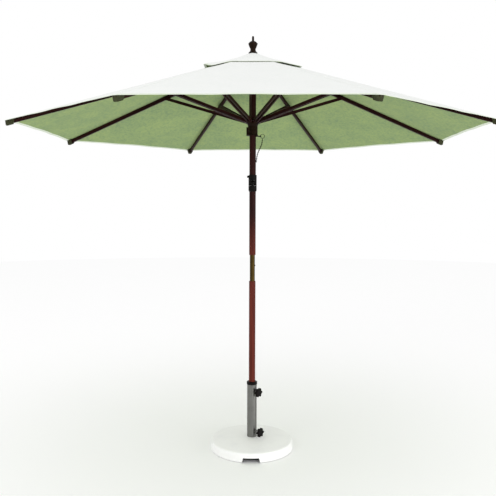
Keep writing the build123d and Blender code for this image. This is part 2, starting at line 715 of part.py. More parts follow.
with BuildPart() as chain_staple:
    with BuildSketch(outward_plane(0, STAPLE_Z, 11)):
        Circle(STAPLE_R)
    extrude(amount=12.5)
    with BuildSketch(outward_plane(0, STAPLE_Z, 22.6)):
        Circle(3.6)
    extrude(amount=1.2)
save(chain_staple, "chain_staple")

CHAIN_R = 1.2
CHAIN_ROUTE = [
    (RING_X, PIN_Z - RING_R - RING_WIRE),
    (RING_X - 2, PIN_Z - 41),
    (RING_X - 14, PIN_Z - 69),
    (RING_X - 27, PIN_Z - 96),
    (RING_X - 33, PIN_Z - 121),
    (21.0, STAPLE_Z + STAPLE_R + 0.4),
]
ARC_SHARE = 0.45


def arc_radii(route):
    """The largest arc at each bend that its two runs leave room for."""
    radii = []
    for before, corner, after in zip(route, route[1:], route[2:]):
        arriving = Vector(*corner) - Vector(*before)
        leaving = Vector(*after) - Vector(*corner)
        turn = radians(arriving.get_angle(leaving))
        radii.append(ARC_SHARE * min(arriving.length, leaving.length) / tan(turn / 2))
    return radii


chain_radii = arc_radii(CHAIN_ROUTE)
print("chain radii", [round(r, 1) for r in chain_radii])

with BuildPart() as pin_chain:
    with BuildLine(Plane.XZ) as chain_path:
        FilletPolyline(*CHAIN_ROUTE, radius=chain_radii)
    with BuildSketch(Plane(chain_path.line @ 0, z_dir=chain_path.line % 0)):
        Circle(CHAIN_R)
    sweep()
save(pin_chain, "pin_chain")
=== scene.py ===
# %% [markdown]
# # A wooden patio umbrella
#
# The frame holds the umbrella's hard parts: poles, ribs, struts, runner, tube, knobs and base.
# This lesson gives them their finishes and makes the soft parts, which are the canopy, its vent,
# hems and pockets, the lift rope and the little chain of the lock pin. Lengths are in metres.

# %% Load the frame
from collections import namedtuple
from math import cos, hypot, pi, radians, sin, tan
import bmesh
import bpy
from mathutils import Matrix, Vector


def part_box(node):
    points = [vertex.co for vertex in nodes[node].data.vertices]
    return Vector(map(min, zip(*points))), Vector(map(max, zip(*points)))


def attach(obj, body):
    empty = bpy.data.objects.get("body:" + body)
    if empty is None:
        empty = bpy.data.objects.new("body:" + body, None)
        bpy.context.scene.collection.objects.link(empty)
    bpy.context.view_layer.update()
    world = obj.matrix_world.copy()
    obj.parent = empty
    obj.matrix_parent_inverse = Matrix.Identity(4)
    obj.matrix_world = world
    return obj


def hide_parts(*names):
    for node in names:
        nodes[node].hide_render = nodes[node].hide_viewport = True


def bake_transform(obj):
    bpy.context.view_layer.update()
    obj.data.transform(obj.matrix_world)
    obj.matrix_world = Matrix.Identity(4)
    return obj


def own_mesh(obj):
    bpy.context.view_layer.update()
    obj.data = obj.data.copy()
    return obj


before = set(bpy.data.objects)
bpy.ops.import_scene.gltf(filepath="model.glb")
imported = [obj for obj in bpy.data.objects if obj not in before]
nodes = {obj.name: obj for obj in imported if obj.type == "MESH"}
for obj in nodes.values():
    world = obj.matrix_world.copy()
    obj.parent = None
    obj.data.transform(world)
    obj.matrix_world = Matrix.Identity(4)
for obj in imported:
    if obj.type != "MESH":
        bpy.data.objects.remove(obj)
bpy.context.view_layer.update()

# %% [markdown]
# The camera stands 3.7 m in front of the pole, at chest height. The near gores rise more steeply
# than its line of sight, so their top shows, and below it the underside of the far ones. It could
# face the pole squarely, but it goes round by one degree, as the canopy isn't quite square to it.

# %% Camera
EYE_DISTANCE = 3.717
EYE_HEIGHT = 1.453
LENS, SENSOR = 45.8, 36
TURN = radians(0.98)
PITCH, YAW, ROLL = radians(-3.84), radians(0.40), radians(0.15)
eye = Vector((sin(TURN) * EYE_DISTANCE, -cos(TURN) * EYE_DISTANCE, EYE_HEIGHT))
camera_data = bpy.data.cameras.new("camera")
camera_data.lens = LENS
camera_data.sensor_width = SENSOR
camera = bpy.data.objects.new("camera", camera_data)
bpy.context.scene.collection.objects.link(camera)
heading = Matrix.Rotation(TURN + YAW, 4, "Z")
nod = Matrix.Rotation(pi / 2 + PITCH, 4, "X")
aim = heading @ nod @ Matrix.Rotation(ROLL, 4, "Z")
camera.matrix_world = Matrix.Translation(eye) @ aim
bpy.context.scene.camera = camera
print("camera at", [round(c, 3) for c in eye])

# %% [markdown]
# Plain studio light: a pale floor, an even white surround and three soft lights. The key light is
# large and high on the left, the fill light is on the right, and a weak one stands low in front, for
# the tube and the knobs. One sun could light it all, but its hard shadow would black out the
# underside. Area lights keep a bright middle and dark edges on the tube and the poles.

# %% Surround and lights
MIDDLE = Vector((0, 0, 1.3))


def link_object(name, data):
    """Put mesh, curve or light data in the scene as an object."""
    made = bpy.data.objects.new(name, data)
    bpy.context.scene.collection.objects.link(made)
    return made


def soft_light(name, place, size, watts):
    """A square area light that faces the middle of the umbrella."""
    data = bpy.data.lights.new(name, "AREA")
    data.size = size
    data.energy = watts
    lamp = link_object(name, data)
    lamp.location = place
    lamp.rotation_euler = (MIDDLE - Vector(place)).to_track_quat("-Z", "Y").to_euler()


world = bpy.data.worlds.new("studio")
world.use_nodes = True
surround = world.node_tree.nodes["Background"]
surround.inputs["Color"].default_value = (1, 1, 1, 1)
surround.inputs["Strength"].default_value = 1.0
bpy.context.scene.world = world
bpy.context.scene.view_settings.view_transform = "Standard"
soft_light("key_light", (-3.5, -4.5, 4.2), 2.5, 45)
soft_light("fill_light", (4.5, -3.0, 1.0), 2.0, 55)
soft_light("low_light", (1.2, -4.5, 0.9), 2.2, 22)
print("lights:", len(bpy.data.lights))

# %% Floor
FLOOR_R = 14
FLOOR_WHITE = 0.97
floor_mesh = bpy.data.meshes.new("floor")
floor_bm = bmesh.new()
bmesh.ops.create_circle(floor_bm, cap_ends=True, radius=FLOOR_R, segments=96)
floor_bm.to_mesh(floor_mesh)
floor_bm.free()
floor = link_object("floor", floor_mesh)
floor_finish = bpy.data.materials.new("pale_floor")
floor_finish.use_nodes = True
floor_shader = floor_finish.node_tree.nodes["Principled BSDF"]
floor_shader.inputs["Base Color"].default_value = (FLOOR_WHITE, FLOOR_WHITE, FLOOR_WHITE, 1)
floor_shader.inputs["Roughness"].default_value = 0.9
floor_shader.inputs["Specular IOR Level"].default_value = 0.0
floor_mesh.materials.append(floor_finish)
print("floor is", 2 * FLOOR_R, "m across")

# %% [markdown]
# ## Finishes
#
# Every finish is worked out from the place of a point on the piece, with nodes. Pictures wrapped
# round the pieces would do as well, but nodes stay sharp close up and show no seam. Effects that
# several finishes share are built once as node groups: wood grain, woven cloth and fine soiling.

# %% Node helpers
def node(tree, kind, **settings):
    """Add a node and set its fields; a key that starts with in_ sets an input socket."""
    made = tree.nodes.new(kind)
    for key, value in settings.items():
        if key.startswith("in_"):
            made.inputs[key[3:].replace("_", " ")].default_value = value
        else:
            setattr(made, key, value)
    return made


def new_group(name, inputs, outputs):
    """An empty shader node group with its sockets; returns the tree and its two end nodes."""
    tree = bpy.data.node_groups.new(name, "ShaderNodeTree")
    for label, (kind, value) in inputs.items():
        socket = tree.interface.new_socket(label, in_out="INPUT", socket_type=f"NodeSocket{kind}")
        if value is not None:
            socket.default_value = value
    for label, kind in outputs.items():
        tree.interface.new_socket(label, in_out="OUTPUT", socket_type=f"NodeSocket{kind}")
    return tree, tree.nodes.new("NodeGroupInput"), tree.nodes.new("NodeGroupOutput")


def maths(tree, operation, a, b):
    """A Math node on two sockets or numbers; returns its output."""
    made = node(tree, "ShaderNodeMath", operation=operation)
    for slot_number, value in enumerate((a, b)):
        if isinstance(value, (int, float)):
            made.inputs[slot_number].default_value = value
        else:
            tree.links.new(value, made.inputs[slot_number])
    return made.outputs[0]


def mix_colour(tree, factor, a, b):
    """Mix two colours, each a socket or a plain colour; returns the result socket."""
    made = node(tree, "ShaderNodeMix", data_type="RGBA")
    # A colour mix reads its sockets 0, 6 and 7 and gives its result at output 2.
    for socket, value in ((made.inputs[0], factor), (made.inputs[6], a), (made.inputs[7], b)):
        if isinstance(value, bpy.types.NodeSocket):
            tree.links.new(value, socket)
        else:
            socket.default_value = value
    return made.outputs[2]


def ramp(tree, factor, low, high):
    """Stretch a 0-to-1 value so that low becomes 0 and high becomes 1, with soft ends."""
    made = node(tree, "ShaderNodeMapRange", interpolation_type="SMOOTHSTEP")
    made.inputs["From Min"].default_value = low
    made.inputs["From Max"].default_value = high
    tree.links.new(factor, made.inputs["Value"])
    return made.outputs["Result"]


def noise(tree, vector, scale, detail, rough, stretch=None):
    """Noise on a vector, optionally stretched along the axes; returns its value."""
    if stretch:
        mapping = node(tree, "ShaderNodeMapping", in_Scale=stretch)
        tree.links.new(vector, mapping.inputs["Vector"])
        vector = mapping.outputs[0]
    made = node(tree, "ShaderNodeTexNoise", in_Scale=scale, in_Detail=detail, in_Roughness=rough)
    tree.links.new(vector, made.inputs["Vector"])
    return made.outputs["Fac"]


print("node helpers ready")

# %% [markdown]
# Grain is streaks, fibres and bands that are far longer along a stick than across it. The group
# stretches three noises along Z to make them. The finest are pores, which are darker and rougher
# than the wood between them and sink in a little.

# %% Shared group: wood grain
STREAK_STRETCH, FIBRE_STRETCH, BAND_STRETCH = (1, 1, 0.035), (1, 1, 0.02), (1, 1, 0.15)
PORE_DARK, PORE_ROUGH, PORE_DEPTH = 0.55, 0.22, 0.6
OILED = 0.34
grain, grain_in, grain_out = new_group(
    "wood_grain",
    {"Vector": ("Vector", None), "Light": ("Color", (0.3, 0.1, 0.05, 1)),
     "Dark": ("Color", (0.05, 0.015, 0.01, 1))},
    {"Color": "Color", "Roughness": "Float", "Height": "Float"},
)
along_grain = grain_in.outputs["Vector"]
dark_stain = grain_in.outputs["Dark"]
long_streaks = noise(grain, along_grain, 60, 5, 0.6, STREAK_STRETCH)
fine_fibres = noise(grain, along_grain, 420, 3, 0.6, FIBRE_STRETCH)
broad_bands = noise(grain, along_grain, 9, 2, 0.5, BAND_STRETCH)
streaks = ramp(grain, long_streaks, 0.32, 0.68)
pores = ramp(grain, fine_fibres, 0.52, 0.72)
stain = maths(grain, "MULTIPLY", streaks, ramp(grain, broad_bands, 0.1, 0.9))
wood_base = mix_colour(grain, stain, dark_stain, grain_in.outputs["Light"])
wood_final = mix_colour(grain, maths(grain, "MULTIPLY", pores, PORE_DARK), wood_base, dark_stain)
wood_rough = maths(grain, "ADD", maths(grain, "MULTIPLY", pores, PORE_ROUGH), OILED)
wood_height = maths(grain, "SUBTRACT", long_streaks, maths(grain, "MULTIPLY", pores, PORE_DEPTH))
grain.links.new(wood_final, grain_out.inputs["Color"])
grain.links.new(wood_rough, grain_out.inputs["Roughness"])
grain.links.new(wood_height, grain_out.inputs["Height"])
print("group:", grain.name)

# %% [markdown]
# Cloth is warp and weft threads that cross. Modelling each thread would take millions of faces, so
# two sine waves at right angles raise them as a bump. The colour is mottled at two sizes, in soft
# clouds where damp has dried and in small specks.

# %% Shared group: woven cloth
THREAD_PITCH = 0.0009
CLOUD_SHARE, SPECK_SHARE = 0.45, 0.75
weave, weave_in, weave_out = new_group(
    "woven_cloth",
    {"Vector": ("Vector", None), "Color": ("Color", (0.8, 0.8, 0.8, 1)),
     "Second": ("Color", (0.6, 0.6, 0.6, 1)), "Mottle": ("Float", 0.3)},
    {"Color": "Color", "Height": "Float"},
)
cloth_place = weave_in.outputs["Vector"]
split = node(weave, "ShaderNodeSeparateXYZ")
weave.links.new(cloth_place, split.inputs[0])
warp, weft = (
    maths(weave, "SINE", maths(weave, "MULTIPLY", split.outputs[way], 2 * pi / THREAD_PITCH), 0.0)
    for way in ("X", "Y")
)
cloudy = ramp(weave, noise(weave, cloth_place, 5.5, 6, 0.62), 0.3, 0.72)
specks = ramp(weave, noise(weave, cloth_place, 62, 4, 0.75), 0.38, 0.68)
both = maths(weave, "ADD", maths(weave, "MULTIPLY", cloudy, CLOUD_SHARE),
             maths(weave, "MULTIPLY", specks, SPECK_SHARE))
mottle = maths(weave, "MULTIPLY", both, weave_in.outputs["Mottle"])
cloth_colour = mix_colour(weave, mottle, weave_in.outputs["Color"], weave_in.outputs["Second"])
weave.links.new(cloth_colour, weave_out.inputs["Color"])
weave.links.new(maths(weave, "MULTIPLY", warp, weft), weave_out.inputs["Height"])
print("group:", weave.name)

# %% [markdown]
# Metal, plastic and paint that stand outdoors pick up dirt in patches and as grit. It could be
# painted on by hand, but noise at two sizes reaches every hard part at once. Where dirt lies, the
# surface is duller too.

# %% Shared group: fine soiling
PATCH_SHARE, GRIT_SHARE = 0.7, 0.3
DULLED = 0.5
soil, soil_in, soil_out = new_group(
    "soiling",
    {"Vector": ("Vector", None), "Clean": ("Color", (0.8, 0.8, 0.8, 1)),
     "Dirt": ("Color", (0.3, 0.28, 0.25, 1)), "Amount": ("Float", 0.2), "Roughness": ("Float", 0.4)},
    {"Color": "Color", "Roughness": "Float", "Height": "Float"},
)
soil_place = soil_in.outputs["Vector"]
patches = ramp(soil, noise(soil, soil_place, 14, 6, 0.65), 0.45, 0.8)
grit = ramp(soil, noise(soil, soil_place, 260, 3, 0.6), 0.5, 0.8)
all_dirt = maths(soil, "ADD", maths(soil, "MULTIPLY", patches, PATCH_SHARE),
                 maths(soil, "MULTIPLY", grit, GRIT_SHARE))
dirty = maths(soil, "MULTIPLY", all_dirt, soil_in.outputs["Amount"])
soiled = mix_colour(soil, dirty, soil_in.outputs["Clean"], soil_in.outputs["Dirt"])
dulled = maths(soil, "ADD", soil_in.outputs["Roughness"], maths(soil, "MULTIPLY", dirty, DULLED))
soil.links.new(soiled, soil_out.inputs["Color"])
soil.links.new(dulled, soil_out.inputs["Roughness"])
soil.links.new(grit, soil_out.inputs["Height"])
print("group:", soil.name)

# %% A blank material to fill in
def blank(name, metallic=0.0):
    """A Principled material; returns it, its tree, its shader and the Object coordinates."""
    made = bpy.data.materials.new(name)
    made.use_nodes = True
    tree = made.node_tree
    shader = tree.nodes["Principled BSDF"]
    shader.inputs["Metallic"].default_value = metallic
    place = node(tree, "ShaderNodeTexCoord").outputs["Object"]
    return made, tree, shader, place


def use_group(tree, group, vector, **values):
    """Place a shared group in a material and set its inputs."""
    made = node(tree, "ShaderNodeGroup", node_tree=group)
    tree.links.new(vector, made.inputs["Vector"])
    for key, value in values.items():
        made.inputs[key].default_value = value
    return made


def bump(tree, height, shader, distance, strength=1.0):
    """Feed a height into the shader's normal."""
    made = node(tree, "ShaderNodeBump", in_Distance=distance, in_Strength=strength)
    tree.links.new(height, made.inputs["Height"])
    tree.links.new(made.outputs[0], shader.inputs["Normal"])


print("groups to share:", len(bpy.data.node_groups))

# %% [markdown]
# The wood is a hardwood stained red-brown and oiled. Low on the pole it is weathered paler; above that,
# the pole, ribs and struts wear a darker, shaded copy of the stain, which is painted shade of the
# canopy. The grain runs along each stick. One pattern for all would cross the ribs at every angle, so
# each rib and strut has its own copy: a Mapping node lays the pattern's Z along it.

# %% Wood finishes
WOOD_LIGHT = (0.225, 0.043, 0.029, 1)
WOOD_DARK = (0.085, 0.016, 0.011, 1)
# The shaded pair is the same stain darkened by the canopy's shade: painted shade.
SHADED_LIGHT = (0.044, 0.010, 0.009, 1)
SHADED_DARK = (0.014, 0.004, 0.004, 1)
# Heights over which the pole turns from its paler, weathered wood into the painted shade.
DARKENS_FROM, DARKENS_TO = 1.14, 1.44
WOOD_SPECULAR = 0.06


def wood(name, turn_to=(0, 0, 0), light=SHADED_LIGHT, dark=SHADED_DARK, weathered_and_shaded=False):
    """Stained wood, grain along the pattern's Z, by default in painted-shade colours; the pole's is paler low
    down.
    """
    made, tree, shader, place = blank(name)
    mapping = node(tree, "ShaderNodeMapping", vector_type="TEXTURE", in_Rotation=turn_to)
    tree.links.new(place, mapping.inputs["Vector"])
    pattern = use_group(tree, grain, mapping.outputs[0], Light=light, Dark=dark)
    colour = pattern.outputs["Color"]
    if weathered_and_shaded:
        # The pole: weathered wood below, and the painted shade of the canopy above.
        below = use_group(tree, grain, mapping.outputs[0], Light=WOOD_LIGHT, Dark=WOOD_DARK)
        height = node(tree, "ShaderNodeSeparateXYZ")
        tree.links.new(place, height.inputs[0])
        shade = ramp(tree, height.outputs["Z"], DARKENS_FROM, DARKENS_TO)
        colour = mix_colour(tree, shade, below.outputs["Color"], colour)
    tree.links.new(colour, shader.inputs["Base Color"])
    tree.links.new(pattern.outputs["Roughness"], shader.inputs["Roughness"])
    shader.inputs["Specular IOR Level"].default_value = WOOD_SPECULAR
    bump(tree, pattern.outputs["Height"], shader, 0.0003)
    return made


pole_wood = wood("stained_pole", weathered_and_shaded=True)
turned_wood = wood("turned_wood", light=(0.024, 0.010, 0.005, 1), dark=(0.008, 0.004, 0.002, 1))
print("wood finishes:", pole_wood.name, turned_wood.name)

# %% [markdown]
# The tube is brushed steel, with long fine scratches and a highlight that they stretch. The pins
# and studs are zinc plated, the sleeve is dull brass gone brown, and the lock pin is blackened. One
# function makes all four, because they differ only in colour, roughness and scratches.

# %% Metal finishes
DRAWN, ALL_WAYS = (1, 1, 0.02), (1, 1, 1)
SCRATCH_ROUGH = 0.14


def metal(name, colour, rough, scratch_stretch=DRAWN, tarnish=(0.2, 0.15, 0.1, 1), amount=0.3):
    """Metal with some tarnish and fine scratches, drawn along Z or running all ways."""
    made, tree, shader, place = blank(name, metallic=1.0)
    worn = use_group(tree, soil, place, Clean=colour, Dirt=tarnish, Amount=amount, Roughness=rough)
    scratches = noise(tree, place, 900, 3, 0.6, scratch_stretch)
    tree.links.new(worn.outputs["Color"], shader.inputs["Base Color"])
    rougher = maths(tree, "MULTIPLY", scratches, SCRATCH_ROUGH)
    tree.links.new(maths(tree, "ADD", worn.outputs["Roughness"], rougher), shader.inputs["Roughness"])
    bump(tree, scratches, shader, 0.00006)
    return made


tube_steel = metal("brushed_tube", (0.20, 0.20, 0.19, 1), 0.3, tarnish=(0.08, 0.08, 0.07, 1))
tube_shader = tube_steel.node_tree.nodes["Principled BSDF"]
tube_shader.inputs["Anisotropic"].default_value = 0.9
tube_shader.inputs["Anisotropic Rotation"].default_value = 0.25
small_steel = metal("zinc_plated", (0.66, 0.66, 0.65, 1), 0.26, ALL_WAYS, amount=0.2)
brass = metal("dull_brass", (0.055, 0.036, 0.010, 1), 0.24, tarnish=(0.02, 0.013, 0.006, 1), amount=0.5)
dark_steel = metal("blackened_steel", (0.022, 0.020, 0.018, 1), 0.4, ALL_WAYS)
print("metals:", tube_steel.name, small_steel.name, brass.name, dark_steel.name)

# %% [markdown]
# Moulded plastic, rubber and thick paint all have a fine orange peel. Modelled, it would need far
# too many faces, so a small noise raises it as bump. Black parts hardly show dirt, but the white
# base shows its soiling in patches and grit.

# %% Plastic, rubber and painted finishes
FINE_PEEL, PAINT_PEEL = 0.00008, 0.00025
MOULDED_SPECULAR = 0.08


def moulded(name, colour, rough, dirt=(0.12, 0.11, 0.1, 1), amount=0.25, coat=0.0, peel_depth=FINE_PEEL):
    """Moulded or painted surface: slight orange peel and soiling."""
    made, tree, shader, place = blank(name)
    worn = use_group(tree, soil, place, Clean=colour, Dirt=dirt, Amount=amount, Roughness=rough)
    peel = noise(tree, place, 700, 2, 0.5)
    tree.links.new(worn.outputs["Color"], shader.inputs["Base Color"])
    tree.links.new(worn.outputs["Roughness"], shader.inputs["Roughness"])
    shader.inputs["Coat Weight"].default_value = coat
    shader.inputs["Specular IOR Level"].default_value = MOULDED_SPECULAR
    bump(tree, maths(tree, "ADD", peel, worn.outputs["Height"]), shader, peel_depth)
    return made


black_plastic = moulded("black_plastic", (0.004, 0.003, 0.003, 1), 0.38, (0.02, 0.018, 0.016, 1))
rubber = moulded("rubber", (0.012, 0.012, 0.012, 1), 0.8)
white_base = moulded("white_paint", (0.92, 0.92, 0.91, 1), 0.42, (0.62, 0.63, 0.66, 1), 0.22, coat=0.1,
                     peel_depth=PAINT_PEEL)
print("moulded finishes:", black_plastic.name, rubber.name, white_base.name)

# %% [markdown]
# The canopy is one polyester cloth, chalk white outside with a sage green backing. Sun and damp
# have left the backing mottled. The weave is under a millimetre, so from afar it only softens the
# light. Hems, pockets, thread and rope are other colours of the same cloth finish.

# %% Cloth finishes
CLOTH_ROUGH, CLOTH_SPECULAR = 0.9, 0.15
THREAD_HEIGHT, THREAD_STRENGTH = 0.0001, 0.6


def cloth(name, colour, second, mottled):
    """Woven cloth with a mottled colour."""
    made, tree, shader, place = blank(name)
    pattern = use_group(tree, weave, place, Color=colour, Second=second, Mottle=mottled)
    tree.links.new(pattern.outputs["Color"], shader.inputs["Base Color"])
    shader.inputs["Roughness"].default_value = CLOTH_ROUGH
    shader.inputs["Specular IOR Level"].default_value = CLOTH_SPECULAR
    bump(tree, pattern.outputs["Height"], shader, THREAD_HEIGHT, THREAD_STRENGTH)
    return made


outer_cloth = cloth("canopy_outside", (0.83, 0.84, 0.825, 1), (0.74, 0.775, 0.745, 1), 0.35)
inner_cloth = cloth("canopy_underside", (0.32, 0.41, 0.165, 1), (0.19, 0.28, 0.15, 1), 0.85)
hem_cloth = cloth("canopy_hem", (0.72, 0.77, 0.66, 1), (0.60, 0.68, 0.55, 1), 0.4)
pocket_cloth = cloth("rib_pocket", (0.045, 0.048, 0.022, 1), (0.02, 0.024, 0.012, 1), 0.6)
thread = cloth("sewing_thread", (0.78, 0.80, 0.74, 1), (0.66, 0.68, 0.62, 1), 0.3)
rope_cloth = cloth("lift_rope_cord", (0.07, 0.05, 0.035, 1), (0.03, 0.02, 0.015, 1), 0.5)
print("cloth finishes:", outer_cloth.name, inner_cloth.name, hem_cloth.name, pocket_cloth.name)

# %% [markdown]
# The hard parts come from the frame with plain colours. New meshes could be laid over them, but
# their shapes are right, so only their material slots are filled.

# %% Dress the hard parts
def dress(material, *names):
    """Give hard parts their finish."""
    for name in names:
        mesh = nodes[name].data
        mesh.materials.clear()
        mesh.materials.append(material)


dress(pole_wood, "lower_pole", "middle_pole", "upper_pole")
dress(turned_wood, "crown_hub", "crown_cap", "finial", "runner")
dress(tube_steel, "base_tube", "knob_bosses", "anchor_plate")
dress(small_steel, "upper_stud", "lower_stud", "crown_pins", "runner_pins", "tilt_pivot", "pulley_axle")
dress(dark_steel, "lock_pin", "pull_ring", "chain_staple")
dress(black_plastic, "pole_seat", "tube_collar", "upper_knob", "lower_knob", "tilt_socket", "tilt_head")
dress(black_plastic, "tilt_button", "pulley_wheel")
dress(brass, "brass_ferrule", "ferrule_screw")
dress(white_base, "base_disc")
dress(rubber, "base_pads")

print("dressed poles, turned wood, metal, plastic and the base")

# %% Dress the ribs and struts
CORNERS = range(1, 9)
FALLS, RISES = -1, 1
azimuth = {k: radians(22.5 + 45 * (k - 1)) for k in CORNERS}


def lay_along_stick(name, angle, sense):
    """Rotation that lays a pattern's Z along a stick, found from the box it fills."""
    low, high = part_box(name)
    run = hypot(high[0] - low[0], high[1] - low[1])
    direction = Vector((cos(angle) * run, sin(angle) * run, sense * (high[2] - low[2])))
    return direction.to_track_quat("Z", "Y").to_euler()


# Ribs and struts keep the wood's default shaded colours: painted shade of the canopy.
for k, angle in azimuth.items():
    for kind, sense in (("rib", FALLS), ("strut", RISES)):
        stick = f"{kind}_{k}"
        dress(wood(f"{kind}_wood_{k}", lay_along_stick(stick, angle, sense)), stick)
print("dressed", len(azimuth), "ribs and struts")

# %% [markdown]
# ## Canopy
#
# Eight gores are sewn together along the ribs, and each sags a little between its two. Cloth
# simulation could find that shape, but the ribs pull it so tight that a formula gives it as well,
# and then every piece cut from the surface meets its neighbours without a step. For folding, each
# gore is cut into a strip that stays on the rib and two triangles beside it.

# %% Measures of the canopy
HALF = radians(22.5)  # half a gore, seen from above
SLOPE = radians(17.95)  # how steeply the ribs fall
CORNER_R, OPENING_R = 1.350, 0.170  # out to the corners, and the hole under the vent
VENT_CORNER_R = 0.300
CLOTH = 0.0009  # thickness
SAG_SHARE = 0.014  # of half the gore's width
SCALLOP = 0.010  # how far the rim curves in between two corners
STRIP = 0.024  # half the width of a rib's strip
CREST = 0.012  # width over which the ridge on a rib is rounded
RIPPLE = 0.0011  # height of the faint pleats in an open gore
PEAK_CLEARANCE = 0.0003
fall = tan(SLOPE) / cos(HALF)
panel_foot, vent_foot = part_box("canopy_panel_1")[0][2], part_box("vent_canopy")[0][2]
canopy_peak = panel_foot + fall * CORNER_R * cos(HALF) + CLOTH + PEAK_CLEARANCE
vent_peak = vent_foot + fall * VENT_CORNER_R * cos(HALF) + CLOTH
print("canopy peak", round(canopy_peak, 4), "vent peak", round(vent_peak, 4), "fall", round(fall, 4))

# %% The canopy's surface
TIGHT_FROM, TIGHT_OVER = 0.75, 0.45  # the sag fades out towards the rim
RIPPLES_OVER = 0.09


def smooth(x):
    """Soft step from 0 to 1."""
    x = min(max(x, 0.0), 1.0)
    return x * x * (3 - 2 * x)


def surface(k, side, along, off_rib, peak, sag=SAG_SHARE, folds=RIPPLE):
    """Point of the cloth, along the middle of the gore and at a distance from the rib's plane."""
    edge = (off_rib - along * sin(HALF)) / cos(HALF)
    half_width = along * tan(HALF)
    slack = 1 - (edge / half_width) ** 2
    crest = max(CREST - off_rib, 0.0) ** 2 / (2 * CREST) * fall * sin(HALF)
    # Two waves across the gore, one finer than the other.
    waves = 0.6 * cos(3 * pi * edge / half_width) + 0.4 * cos(5 * pi * edge / half_width + 6 * along)
    ripple = folds * smooth((off_rib - STRIP) / RIPPLES_OVER) * waves * smooth(along - 0.1)
    sagging = sag * half_width * slack * (1 - smooth((along - TIGHT_FROM) / TIGHT_OVER))
    height = peak - fall * along - sagging - crest + ripple
    gore = azimuth[k] + side * HALF
    lateral = -side * edge
    x = along * cos(gore) + lateral * sin(gore)
    y = along * sin(gore) - lateral * cos(gore)
    return Vector((x, y, height))


def canopy_point(k, side, along, off_rib):
    """Point of the big canopy."""
    return surface(k, side, along, off_rib, canopy_peak)


corner_height = canopy_point(1, 1, CORNER_R * cos(HALF), 0.0).z
print("the rim's corners are", round(corner_height, 3), "m above the floor")

# %% [markdown]
# The vent is a small second canopy over the opening at the top. It stands off the big one, so hot
# air and gusts slip out underneath. It could be a plain cone, but its rim hangs low in some places
# and has lifted in others. Both canopies are cut in the same way, from two sets of measures.

# %% The two canopies
VENT_PULL_UP, PULLED_FROM, PULLED_OVER = 0.006, 0.015, 0.09  # where the crown cap lifts the cloth
VENT_RIM_FROM, VENT_RIM_OVER = 0.15, 0.11
CORNER_DROP = {1: 0.002, 2: 0.005, 3: 0.006, 4: 0.005, 5: -0.013, 6: 0.007, 7: 0.008, 8: 0.001}
MIDDLE_DROP = [-0.006, 0.002, 0.004, 0.002, -0.004, 0.006, 0.0085, 0.002]


def vent_point(k, side, along, off_rib):
    """Point of the vent, with its lifted top and its uneven rim."""
    even_cloth = surface(k, side, along, off_rib, vent_peak, sag=0.0, folds=0.0)
    edge = (off_rib - along * sin(HALF)) / cos(HALF)
    slack = 1 - (edge / (along * tan(HALF))) ** 2
    gore = (k if side > 0 else k - 1) % 8
    drop = CORNER_DROP[k] + (MIDDLE_DROP[gore] - CORNER_DROP[k]) * smooth(slack)
    pulled_up = VENT_PULL_UP * (1 - smooth((along - PULLED_FROM) / PULLED_OVER))
    return even_cloth + Vector((0, 0, pulled_up - drop * smooth((along - VENT_RIM_FROM) / VENT_RIM_OVER)))


Cut = namedtuple("Cut", "point peak strip_start gore_start corner_r scallop strip hem")
opening = OPENING_R * cos(HALF)
canopy = Cut(canopy_point, canopy_peak, opening, opening, CORNER_R, SCALLOP, STRIP, hem=0.016)
VENT_START, VENT_STRIP, VENT_SCALLOP = 0.0185, 0.026, 0.004
vent_gores_from = VENT_STRIP / sin(HALF) + 0.0001  # nearer the middle, the strips fill the gore
vent = Cut(vent_point, vent_peak, VENT_START, vent_gores_from, VENT_CORNER_R, VENT_SCALLOP, VENT_STRIP,
           hem=0.012)
print("canopy and vent are cut", canopy.corner_r, "and", vent.corner_r, "m out to their corners")

# %% [markdown]
# A piece of cloth starts as a flat grid, which is bent onto the surface point by point. A Solidify
# modifier gives it two faces, so its outside and its underside can have their own colours.

# %% A cloth piece from a grid
def even(start, end, count):
    """Evenly spaced values, both ends included."""
    return [start + (end - start) * i / (count - 1) for i in range(count)]


def cloth_piece(name, rows, columns, place, finishes, thickness=CLOTH):
    """Bend a grid onto the surface; place gives the point for a row value and a column value."""
    mesh = bpy.data.meshes.new(name)
    bm = bmesh.new()
    bmesh.ops.create_grid(bm, x_segments=len(rows) - 1, y_segments=len(columns) - 1, size=0.5)
    for vert in bm.verts:
        row = rows[round((vert.co.x + 0.5) * (len(rows) - 1))]
        column = columns[round((vert.co.y + 0.5) * (len(columns) - 1))]
        vert.co = place(row, column)
    bmesh.ops.remove_doubles(bm, verts=bm.verts, dist=0.00001)
    bm.normal_update()
    if sum(face.normal.z for face in bm.faces) < 0:
        bmesh.ops.reverse_faces(bm, faces=bm.faces)
    border = [i for i, edge in enumerate(bm.edges) if edge.is_boundary]
    bm.to_mesh(mesh)
    bm.free()
    for finish in finishes:
        mesh.materials.append(finish)
    mesh.shade_smooth()
    # A sharp border keeps the shading flat up to the edge, so no line shows where two pieces meet.
    sharp = mesh.attributes.new("sharp_edge", "BOOLEAN", "EDGE")
    for i in border:
        sharp.data[i].value = True
    piece = link_object(name, mesh)
    wall = piece.modifiers.new("two faces", "SOLIDIFY")
    wall.thickness = thickness
    wall.offset = -1
    wall.material_offset = 1
    wall.material_offset_rim = 0
    return piece


two_sided = (outer_cloth, inner_cloth)
print("cloth is", CLOTH * 1000, "mm thick")

# %% [markdown]
# When the umbrella closes, each rib swings down to the pole and the cloth between two ribs hangs in
# pleats. Cloth simulation could fold it for every pose, but far too slowly. Here each triangle rides on
# its rib, with its own copy of the mesh.

# %% How pieces move with the ribs
ANCHOR_ALONG = 0.2


def on_rib(k, *pieces):
    """Sew pieces to a rib: they go where it goes."""
    for piece in pieces:
        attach(piece, f"rib_{k}")


